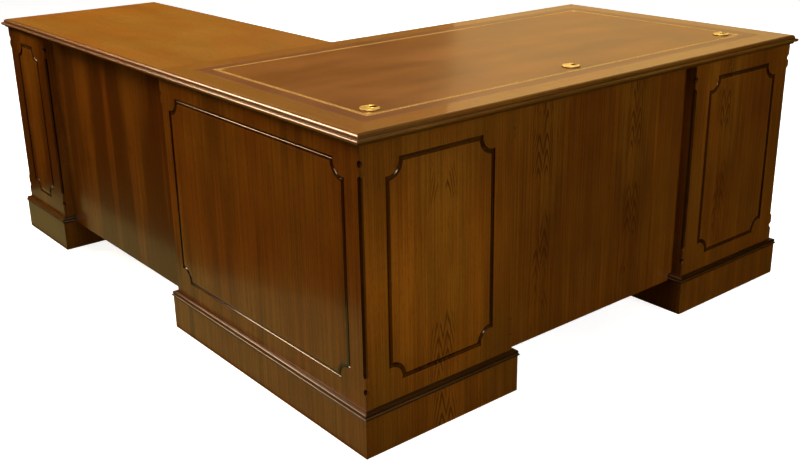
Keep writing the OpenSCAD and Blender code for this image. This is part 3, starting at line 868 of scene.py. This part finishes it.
def make_cap(node, x, y, cap_r, seat):
    """One grommet's cap, with its slot open towards +X as it lies at rest."""
    low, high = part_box(node)
    base = seat + 0.1 * MM
    edge_r = (high.z - base) / 2
    hub = 19.9 * MM
    hub_inside = hub - 2.5 * MM
    slot_r = 8 * MM
    profile = [(0, base), (hub_inside, base), (hub_inside, low.z), (hub, low.z), (hub, base)]
    profile += arc((cap_r - edge_r, base + edge_r), edge_r, -90, 90, 8)
    profile += arc((cap_r - edge_r - 1.4 * MM, high.z - 0.5 * MM), 0.5 * MM, 90, 180, 4)
    profile += [(cap_r - 5.5 * MM, high.z - 0.8 * MM), (0, high.z - 0.45 * MM)]
    cap = lathe(profile, 72)
    slot = bmesh.new()
    outline = arc((slot_r, 0), slot_r, 90, 270, 16) + [(2 * cap_r, -slot_r), (2 * cap_r, slot_r)]
    ends = [low.z - 1 * MM, high.z + 1 * MM]
    loops = [[slot.verts.new((a, b, z)) for a, b in outline] for z in ends]
    join_loops(slot, loops, closed=False)
    slot.faces.new(loops[0])
    slot.faces.new(loops[1])
    cap = carve(cap, slot)
    rim = cap_r - 2.4 * MM
    # The slot's walls and the cap's underside get the near-black brass: painted shade.
    paint_shade(cap, lambda c: (0 <= c.x < rim and abs(c.y) < slot_r + 0.1 * MM) or c.z < seat)
    lip_r = 0.5 * MM
    lip_z = high.z - lip_r
    lip_side = slot_r + 0.3 * MM
    reach = cap_r - 2.2 * MM
    path = [(reach, lip_side), *arc((slot_r, 0), lip_side, 90, 270, 16), (reach, -lip_side)]
    points = [Vector((a, b, lip_z)) for a, b in path]
    add_into(cap, rod(points, [lip_r] * len(points), 10))
    place(cap, move_to(x, y, 0))
    rebuilt(node, "plate", cap, [BRASS, BRASS_SHADE], body=node)


# ---- Pedestals ----


class Pedestal:
    """A pedestal's own frame: its back along X, its opening towards +Y, its first corner at
    the origin. The return's pedestal is turned a quarter clockwise."""

    def __init__(self, name, turned=False, left_is_outer=True, side_margins=(76 * MM, 76 * MM)):
        sides = [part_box(f"{name}_{side}_side") for side in ("outer", "inner")]
        low = Vector(map(min, sides[0][0], sides[1][0]))
        high = Vector(map(max, sides[0][1], sides[1][1]))
        self.name = name
        self.low_z = low.z
        self.high_z = high.z
        self.side_margins = side_margins
        self.left, self.right = ("outer", "inner") if left_is_outer else ("inner", "outer")
        if turned:
            self.matrix = move_to(low.x, high.y, 0, -math.pi / 2)
            self.width = high.y - low.y
            self.depth = high.x - low.x
        else:
            self.matrix = move_to(low.x, low.y, 0)
            self.width = high.x - low.x
            self.depth = high.y - low.y
        self.opening_axis = "X" if turned else "Y"
        self.cap_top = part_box(f"{name}_plinth_cap")[1].z

    def box(self, node):
        """A CAD node's box in the pedestal's own frame."""
        back = self.matrix.inverted()
        corners = [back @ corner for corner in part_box(node)]
        return Vector(map(min, *corners)), Vector(map(max, *corners))


# The thickness of the pedestals' boards.
BOARD = 18 * MM
# The grooves lie this far above the plinth moulding, below the tops and in from the sides.
GROOVE_UP = 54 * MM
GROOVE_DOWN = 52 * MM
BACK_MARGIN = 76 * MM
DOOR_MARGIN = 56 * MM
# The radius of the grooves' hollow corners, and how deep the grooves are cut.
GROOVE_CORNER = 39 * MM
GROOVE_DEEP = 4.5 * MM
# A face whose middle lies between these two depths is inside a groove.
IN_GROOVE = (0.4 * MM, 5 * MM)
# The radius of the stopped hollows along the corners, and of the balls that end them.
COVE_R = 8 * MM
BALL_R = 8.6 * MM
SWAP_XY = Matrix(((0, 1, 0, 0), (1, 0, 0, 0), (0, 0, 1, 0), (0, 0, 0, 1)))

CORNER = Pedestal("corner", side_margins=(64.5 * MM, 51 * MM))
FAR = Pedestal("far", left_is_outer=False)
RETURN = Pedestal("return", turned=True)
PEDESTALS = [CORNER, FAR, RETURN]


def groove_section():
    """The groove's section: a steep outer wall with an eased lip, a narrow floor, and a convex
    ramp back up to the panel inside."""
    half = 7 * MM
    deep = GROOVE_DEEP
    ramp = 9 * MM
    points = [(half + 0.5 * MM, -2 * MM), (half + 0.5 * MM, 0), (half + 0.1 * MM, 0.3 * MM)]
    points += [(half - 0.3 * MM, deep * 0.80), (half - 1.1 * MM, deep), (half - 2.4 * MM, deep)]
    steps = 7
    for k in range(steps, -1, -1):
        angle = math.radians(90 * k / steps)
        fall = (deep - 0.6 * MM) * (1 - math.cos(angle))
        points.append((-half + ramp * math.sin(angle), 0.25 * MM + fall))
    points.append((-half, -2 * MM))
    return points


def groove_heights(pedestal):
    """Where the groove's lower and upper runs lie."""
    return pedestal.cap_top + GROOVE_UP, pedestal.high_z - GROOVE_DOWN


def panel_groove(pedestal, width):
    """A cutter for a panel's groove, in the XZ plane about the panel's upright middle line."""
    low, high = groove_heights(pedestal)
    cutter = ring_cutter(width, high - low, GROOVE_CORNER, groove_section())
    return place(cutter, move_to(0, 0, (low + high) / 2))


def cove_cutter(pedestal):
    """A cutter for the stopped hollow along a corner: a long run with round ends, and a ball
    above and below it."""
    low, high = groove_heights(pedestal)
    start = low + 27 * MM
    end = high - 17 * MM
    run = arc((0, start + COVE_R), COVE_R, -90, 0, 8) + arc((0, end - COVE_R), COVE_R, 0, 90, 8)
    run[0] = (0, start)
    run[-1] = (0, end)
    cutter = lathe(run, 40)
    for middle in (low - 7 * MM, high + 9.5 * MM):
        ball = arc((0, middle), BALL_R, -90, 90, 14)
        ball[0] = (0, middle - BALL_R)
        ball[-1] = (0, middle + BALL_R)
        add_into(cutter, lathe(ball, 40))
    return cutter


def side_board(pedestal, is_left):
    """One side of a pedestal, with coves down both corners and a groove if it is the outer."""
    kind = pedestal.left if is_left else pedestal.right
    depth = pedestal.depth

    def outer_arris(middle, direction):
        return abs(direction.z) > 0.1 and middle.x < 1 * MM

    shape = board((0, 0, pedestal.low_z), (BOARD, depth, pedestal.high_z), 1.1 * MM, 3, outer_arris)
    cutter = bmesh.new()
    for y in (0, depth):
        add_into(cutter, cove_cutter(pedestal), move_to(0, y, 0))
    if kind == "outer":
        front, back = pedestal.side_margins
        length = depth - front - back
        where = move_to(0, front + length / 2, 0) @ SWAP_XY
        add_into(cutter, panel_groove(pedestal, length), where)
    shape = carve(shape, cutter)

    def in_groove(middle):
        return IN_GROOVE[0] < middle.x < IN_GROOVE[1] and 20 * MM < middle.y < depth - 20 * MM

    def in_cove(middle):
        from_end = min(middle.y, depth - middle.y)
        from_arris = math.hypot(middle.x, from_end)
        return min(middle.x, from_end) > 0.05 * MM and 3 * MM < from_arris < 9 * MM

    def deep_in_cove(middle):
        return in_cove(middle) and middle.x < 1.3 * min(middle.y, depth - middle.y)

    # The groove and the coves get darker copies of the veneer: painted shade, darkest in the part of
    # each cove nearer the side's outer face.
    paint_shade(shape, in_groove)
    paint_shade(shape, in_cove, 3)
    paint_shade(shape, deep_in_cove, 2)
    if not is_left:
        place(shape, move_to(pedestal.width, 0, 0) @ Matrix.Scale(-1, 4, (1, 0, 0)))
    place(shape, pedestal.matrix)
    node = f"{pedestal.name}_{kind}_side"
    case_shades = [CASE, CASE_GROOVE_SHADE, CASE_COVE_SHADE, CASE_SHADED]
    rebuilt(node, "board", shape, case_shades)


def back_board(pedestal):
    """The grooved panel across the back of a pedestal."""
    width = pedestal.width
    shape = board((BOARD, 0, pedestal.low_z), (width - BOARD, BOARD, pedestal.high_z))
    cutter = panel_groove(pedestal, width - 2 * BACK_MARGIN)
    shape = carve(shape, place(cutter, move_to(width / 2, 0, 0)))
    edge = BOARD + 1 * MM
    # The groove's faces get the darker veneer: painted shade.
    paint_shade(shape, lambda c: IN_GROOVE[0] < c.y < IN_GROOVE[1] and edge < c.x < width - edge)
    place(shape, pedestal.matrix)
    rebuilt(f"{pedestal.name}_back_panel", "board", shape, [CASE, CASE_GROOVE_SHADE])


def cap_section():
    """The plinth moulding: a foot, a small bead, a fuller one above it, and a flat step."""
    points = [(15.3 * MM, 0), (4 * MM, 0), (4 * MM, 1.7 * MM)]
    points += arc((3 * MM, 5 * MM), 3 * MM, 285, 75, 12)
    points += arc((7.5 * MM, 12.5 * MM), 5 * MM, 228, 84, 12)
    points += [(9.4 * MM, 17.6 * MM), (11.1 * MM, 17.8 * MM)]
    points += [(11.3 * MM, 19 * MM), (15.3 * MM, 19 * MM)]
    return points


def plinth_section(height):
    """A plinth board with its foot eased and its top arris broken."""
    points = [(BOARD, 0), (1.6 * MM, 0)]
    points += arc((1.6 * MM, 1.6 * MM), 1.6 * MM, 260, 190, 4)
    points += [(0, 1.6 * MM), (0, height - 0.6 * MM), (0.6 * MM, height), (BOARD, height)]
    return points


def base_of(pedestal):
    """The plinth and the moulding on top of it, both mitred around the pedestal."""
    node = f"{pedestal.name}_plinth"
    low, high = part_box(node)
    plinth = ring_of_strips(plinth_section(high.z - low.z), low, high, low.z)
    rebuilt(node, "boards", plinth, [CASE, CASE])
    node = f"{pedestal.name}_plinth_cap"
    low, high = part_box(node)
    moulding = ring_of_strips(cap_section(), low, high, low.z)
    # The waist between the beads gets the darker moulding: painted shade.
    waist_low = low.z + 6.5 * MM
    waist_high = low.z + 10 * MM
    paint_shade(moulding, lambda c: waist_low < c.z < waist_high, 2)
    rebuilt(node, "moulding", moulding, [CAP_X_SHADED, CAP_Y_SHADED, MOULD_QUIRK_SHADE])


def dress_frame(pedestal):
    """The frame inside a pedestal: bare wood, with its front edges stained to match the case."""
    node = f"{pedestal.name}_frame"
    rails = INNER_Y if pedestal.opening_axis == "X" else INNER_X
    mesh = dress(node, rails, CASE)
    outwards = pedestal.matrix.to_3x3() @ Vector((0, 1, 0))
    front = max(v.co.dot(outwards) for v in mesh.vertices)
    for face in mesh.polygons:
        if face.normal.dot(outwards) > 0.9 and face.center.dot(outwards) > front - 1 * MM:
            face.material_index = 1


# ---- Drawers, pulls and door ----


def bead_ring(low, high, front):
    """A slim bead around a front, in a pedestal's own frame."""
    radius = 1.6 * MM
    section = [(0, -2 * MM), (2 * radius, -2 * MM)] + arc((radius, 0.3 * MM), radius, 0, 180, 8)
    ring = ring_of_strips(section, (low.x, low.z), (high.x, high.z), 0)
    stand_up = Matrix(((1, 0, 0, 0), (0, 0, 1, front), (0, 1, 0, 0), (0, 0, 0, 1)))
    return place(ring, stand_up)


def drawer_face(pedestal, node, body):
    """A drawer's front with a slim bead around it."""
    low, high = pedestal.box(node)
    shape = board(low, high, 0.8 * MM, 2)
    add_into(shape, bead_ring(low, high, high.y))
    place(shape, pedestal.matrix)
    rebuilt(node, "panel", shape, [CASE, CASE], body)


# Lays a turned shape down, so that it stands out from a front.
LATHE_TO_Y = Matrix.Rotation(-math.pi / 2, 4, "X")
# Half the bail's width, how far it hangs, the bend of its arms, and half the length of its grip.
BAIL_REACH = 47 * MM
BAIL_DROP = 28 * MM
BAIL_ELBOW = 13 * MM
GRIP_HALF = BAIL_REACH - BAIL_ELBOW


def pull(pedestal, drawer):
    """A drawer's pull: two turned posts on rosettes, and the bail that swings in them."""
    low, high = pedestal.box(drawer + "_bail")
    cad_bail_r = 2.4 * MM
    front = pedestal.box(drawer + "_front")[1].y
    pivot = Vector(((low.x + high.x) / 2, (low.y + high.y) / 2, high.z - cad_bail_r))
    half_span = 38 * MM
    outline = [
        (0, 0), (9.7, 0), (10, 0.7), (9.5, 1.6), (8.2, 2.1), (7.4, 1.8), (6.5, 2.5), (4.8, 3.4),
        (3.7, 5.2), (3.4, 7.0), (4.4, 7.7), (4.6, 8.3), (5.2, 9.8), (5.6, 12), (5.2, 14.2),
        (3.9, 16.1), (1.9, 17.1), (0, 17.3),
    ]
    posts = bmesh.new()
    for side in (-1, 1):
        where = move_to(pivot.x + side * half_span, front, pivot.z) @ LATHE_TO_Y
        add_into(posts, lathe([(r * MM, h * MM) for r, h in outline], 32), where)
    place(posts, pedestal.matrix)
    rebuilt(drawer + "_pull_posts", "turned", posts, [BRASS], drawer)

    shoulder = 4 * MM
    pin_end = 34 * MM
    arm = [(pin_end, 0)]
    arm += arc((BAIL_REACH - shoulder, -shoulder), shoulder, 90, 0, 5)
    arm += arc((GRIP_HALF, -BAIL_DROP + BAIL_ELBOW), BAIL_ELBOW, 0, -90, 9)
    grip = [(GRIP_HALF * (1 - k / 20), -BAIL_DROP) for k in range(1, 40)]
    path = arm + grip + [(-a, b) for a, b in reversed(arm)]
    bail = rod([Vector((a, 0, b)) for a, b in path], [bail_radius(a, b) for a, b in path], 14)
    place(bail, pedestal.matrix @ move_to(*pivot))
    rebuilt(drawer + "_bail", "grip", bail, [BRASS], drawer + "_bail")


def bail_radius(across, down):
    """The bail's radius: thin at its pins, fuller in the grip, with a turned ring each side."""
    if down > -4 * MM and abs(across) < 44 * MM:
        return 1.7 * MM
    if down > -0.98 * BAIL_DROP:
        return 2.2 * MM
    swell = 0.8 * math.cos(math.pi / 2 * min(abs(across) / GRIP_HALF, 1)) ** 2
    ring = 0.9 * math.exp(-(((abs(across) - 15 * MM) / (1.6 * MM)) ** 2))
    return (2.2 + swell + ring) * MM


def make_cupboard():
    """The corner cupboard's door, knob, hinges, shelf and pins."""
    low, high = CORNER.box("cupboard_door")
    door = board(low, high, 1.2 * MM, 3)
    cutter = panel_groove(CORNER, high.x - low.x - 2 * DOOR_MARGIN)
    to_front = move_to((low.x + high.x) / 2, high.y, 0) @ Matrix.Scale(-1, 4, (0, 1, 0))
    door = carve(door, place(cutter, to_front))
    edge = 20 * MM

    def in_groove(middle):
        depth = high.y - middle.y
        return IN_GROOVE[0] < depth < IN_GROOVE[1] and low.x + edge < middle.x < high.x - edge

    # The groove's faces get the darker veneer: painted shade.
    paint_shade(door, in_groove)
    place(door, CORNER.matrix)
    body = "cupboard_door"
    rebuilt("cupboard_door", "panel", door, [CASE, CASE_GROOVE_SHADE], body)
    low, high = CORNER.box("cupboard_knob")
    outline = [
        (0, 0), (11.6, 0), (12, 0.8), (11.4, 1.9), (9.6, 2.4), (8.6, 2.1), (7.2, 3.0), (5.2, 4.4),
        (4.4, 7), (4.3, 10), (5.4, 12.2), (8.6, 14.2), (10.7, 17), (11.2, 20), (10.3, 23.6),
        (8.2, 26.2), (5.6, 27.9), (2.8, 28.8), (0, 29),
    ]
    knob = lathe([(r * MM, h * MM) for r, h in outline], 40)
    where = move_to((low.x + high.x) / 2, low.y, (low.z + high.z) / 2) @ LATHE_TO_Y
    place(knob, CORNER.matrix @ where)
    rebuilt("cupboard_knob", "turned", knob, [BRASS], body)
    dress("cupboard_hinges", BRASS)
    dress("cupboard_door_leaves", BRASS)
    make_finials()
    dress("cupboard_shelf", INNER_X)
    dress("shelf_pins", BRASS)


def make_finials():
    """The turned tips above and below each hinge's knuckles."""
    low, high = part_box("cupboard_hinges")
    hinge_h = 66 * MM
    knuckle_r = 3.2 * MM
    outline = [
        (0, 0), (2.3, 0), (2.9, 0.7), (2.2, 1.5), (1.5, 2.1), (2.2, 3.0), (2.4, 4.0), (1.5, 5.3),
        (0, 5.8),
    ]
    profile = [(r * MM, h * MM) for r, h in outline]
    tips = bmesh.new()
    for base, way in ((low.z, -1), (low.z + hinge_h, 1), (high.z - hinge_h, -1), (high.z, 1)):
        axis = move_to((low.x + high.x) / 2, high.y - knuckle_r, base)
        where = axis @ Matrix.Scale(way, 4, (0, 0, 1))
        add_into(tips, lathe(profile, 24), where)
    piece("cupboard_hinge_finials", tips, [BRASS])


make_tops()
make_tooling()
make_grommets()
for pedestal in PEDESTALS:
    side_board(pedestal, True)
    side_board(pedestal, False)
    back_board(pedestal)
    base_of(pedestal)
    dress_frame(pedestal)
for pedestal in (FAR, RETURN):
    for number in (1, 2, 3):
        drawer = f"{pedestal.name}_drawer_{number}"
        drawer_face(pedestal, drawer + "_front", drawer)
        pull(pedestal, drawer)
        dress(drawer + "_box", INNER_X if pedestal is RETURN else INNER_Y)
make_cupboard()
dress("main_modesty_panel", CASE)
dress("return_modesty_panel", CASE)
dress("fixing_cleats", CASE)


# ---- Floor and light ----


def plane_shape(width, height):
    """A flat rectangle about the origin."""
    shape = bmesh.new()
    ways = ((-1, -1), (1, -1), (1, 1), (-1, 1))
    shape.faces.new([shape.verts.new((a * width / 2, b * height / 2, 0)) for a, b in ways])
    return shape


def stage_piece(name, shape, material):
    """Puts a shape in the scene with its material."""
    mesh = into_mesh(shape, name)
    mesh.materials.append(material)
    made = new_object(name, mesh)
    return made


def only_seen(thing):
    """The thing shows to the camera, and neither lights the desk nor shows in its lacquer."""
    thing.visible_diffuse = False
    thing.visible_glossy = False
    thing.visible_transmission = False


def aim(thing, where, target):
    """Puts something in its place, with its -Z towards the target."""
    where = Vector(where)
    thing.location = where
    thing.rotation_euler = (Vector(target) - where).to_track_quat("-Z", "Y").to_euler()


def lamp(name, where, target, size, watts, colour, spread=180, in_lacquer=False):
    """A soft rectangular lamp that the camera doesn't see, nor the lacquer unless it is asked."""
    data = bpy.data.lights.new(name, "AREA")
    data.shape = "RECTANGLE"
    data.size, data.size_y = size
    data.energy = watts
    data.color = colour
    data.spread = math.radians(spread)
    made = new_object(name, data)
    aim(made, where, target)
    made.visible_camera = False
    made.visible_glossy = in_lacquer


def card(name, shape, where, target, colour, strength):
    """A glowing card that only reflections show."""
    made = stage_piece(name, shape, glow_material(name, colour, strength))
    aim(made, where, target)
    made.visible_camera = False
    made.visible_diffuse = False
    made.visible_transmission = False
    made.visible_volume_scatter = False
    made.visible_shadow = False
    return made


def floor_patch():
    """The lit part of the floor beside the return, as its side's lacquer reflects it."""
    shape = bmesh.new()
    outline = [(-0.84, -1.15), (-0.84, 1.45), (-1.02, 1.45)]
    outline += [(-1.04, 0.42), (-1.09, 0.18), (-1.60, -1.15)]
    shape.faces.new([shape.verts.new((x, y, 0)) for x, y in outline])
    bmesh.ops.recalc_face_normals(shape, faces=shape.faces)
    return shape


def dim_sky():
    """A faint light from above. The sky gives nothing at the horizon and below, and its full
    light from a quarter of the way up."""
    world = bpy.data.worlds.new("studio")
    bpy.context.scene.world = world
    world.use_nodes = True
    tree = world.node_tree
    sky = tree.nodes["Background"]
    direction = tree.nodes.new("ShaderNodeTexCoord")
    split = tree.nodes.new("ShaderNodeSeparateXYZ")
    above = tree.nodes.new("ShaderNodeValToRGB")
    tree.links.new(direction.outputs["Generated"], split.inputs[0])
    tree.links.new(split.outputs["Z"], above.inputs[0])
    tree.links.new(above.outputs[0], sky.inputs["Color"])
    horizon, overhead = above.color_ramp.elements
    horizon.position = 0.0
    overhead.position = 0.25
    overhead.color = (1.0, 0.97, 0.93, 1)
    sky.inputs["Strength"].default_value = 0.16
    world.cycles_visibility.glossy = False


def light_the_scene():
    """A pale floor and backdrop, soft light from above and behind, and cards to reflect."""
    floor = stage_piece("floor", plane_shape(60, 60), floor_material())
    floor.location = (0, 0, -0.5 * MM)
    only_seen(floor)
    wall = lathe([(29, -0.1), (29.1, -0.1), (29.1, 25), (29, 25)], 64)
    backdrop = stage_piece("backdrop", wall, glow_material("backdrop", (1, 1, 1), 1.0))
    only_seen(backdrop)
    backdrop.visible_shadow = False
    dim_sky()
    bpy.context.scene.view_settings.view_transform = "Standard"

    lamp("overhead", (0.2, 0.2, 3.4), (0, 0, 0.7), (3.2, 3.2), 92, (1.0, 0.97, 0.88))
    lamp("visitor_fill", (0.55, -3.6, 1.4), (0.1, -0.9, 0.4), (1.3, 1.0), 35, (1.0, 0.94, 0.90))
    near_panel = (-0.66, -1.0, 0.38)
    lamp("corner_fill", (-0.95, -3.0, 1.1), near_panel, (0.25, 0.25), 0.38, (1, 1, 1), spread=24)
    lamp("side_fill", (-3.6, -0.7, 1.3), (-0.8, -0.4, 0.4), (1.6, 1.2), 17.5, (1.0, 0.78, 0.30))
    lamp("user_fill", (2.8, 3.2, 2.4), (0.0, 0.0, 0.4), (2.4, 2.0), 110, (1.0, 0.95, 0.90))
    back = (-2.6, 3.5, 3.3)
    lamp("back_light", back, (-0.8, -0.6, 0.6), (1.7, 1.2), 200, (1.0, 0.66, 0.40), in_lacquer=True)

    card("warm_wall", plane_shape(3.4, 3.2), (4.3, 2.0, 2.7), (0, -0.9, 0.9), (1.0, 0.71, 0.30), 0.75)
    card("ceiling_glow", plane_shape(2.6, 1.0), (0.4, -0.6, 3.3), (0.2, -0.6, 0), (1.0, 0.80, 0.50), 2.5)
    card("lamp_glow", plane_shape(1.4, 2.6), (-1.9, -2.3, 2.75), (-1.9, -2.3, 0), (1.0, 0.72, 0.50), 40)
    foot = (-0.84, -1.0, 0.15)
    card("corner_glow", plane_shape(0.8, 0.8), (-2.84, 1.8, 2.2), foot, (1.0, 0.76, 0.52), 14)
    patch = card("floor_glow", floor_patch(), (0, 0, 0), (0, 0, -1), (1.0, 0.90, 0.31), 0.44)
    patch.location = (0, 0, -0.1 * MM)
    patch.rotation_euler = (0, 0, 0)


light_the_scene()
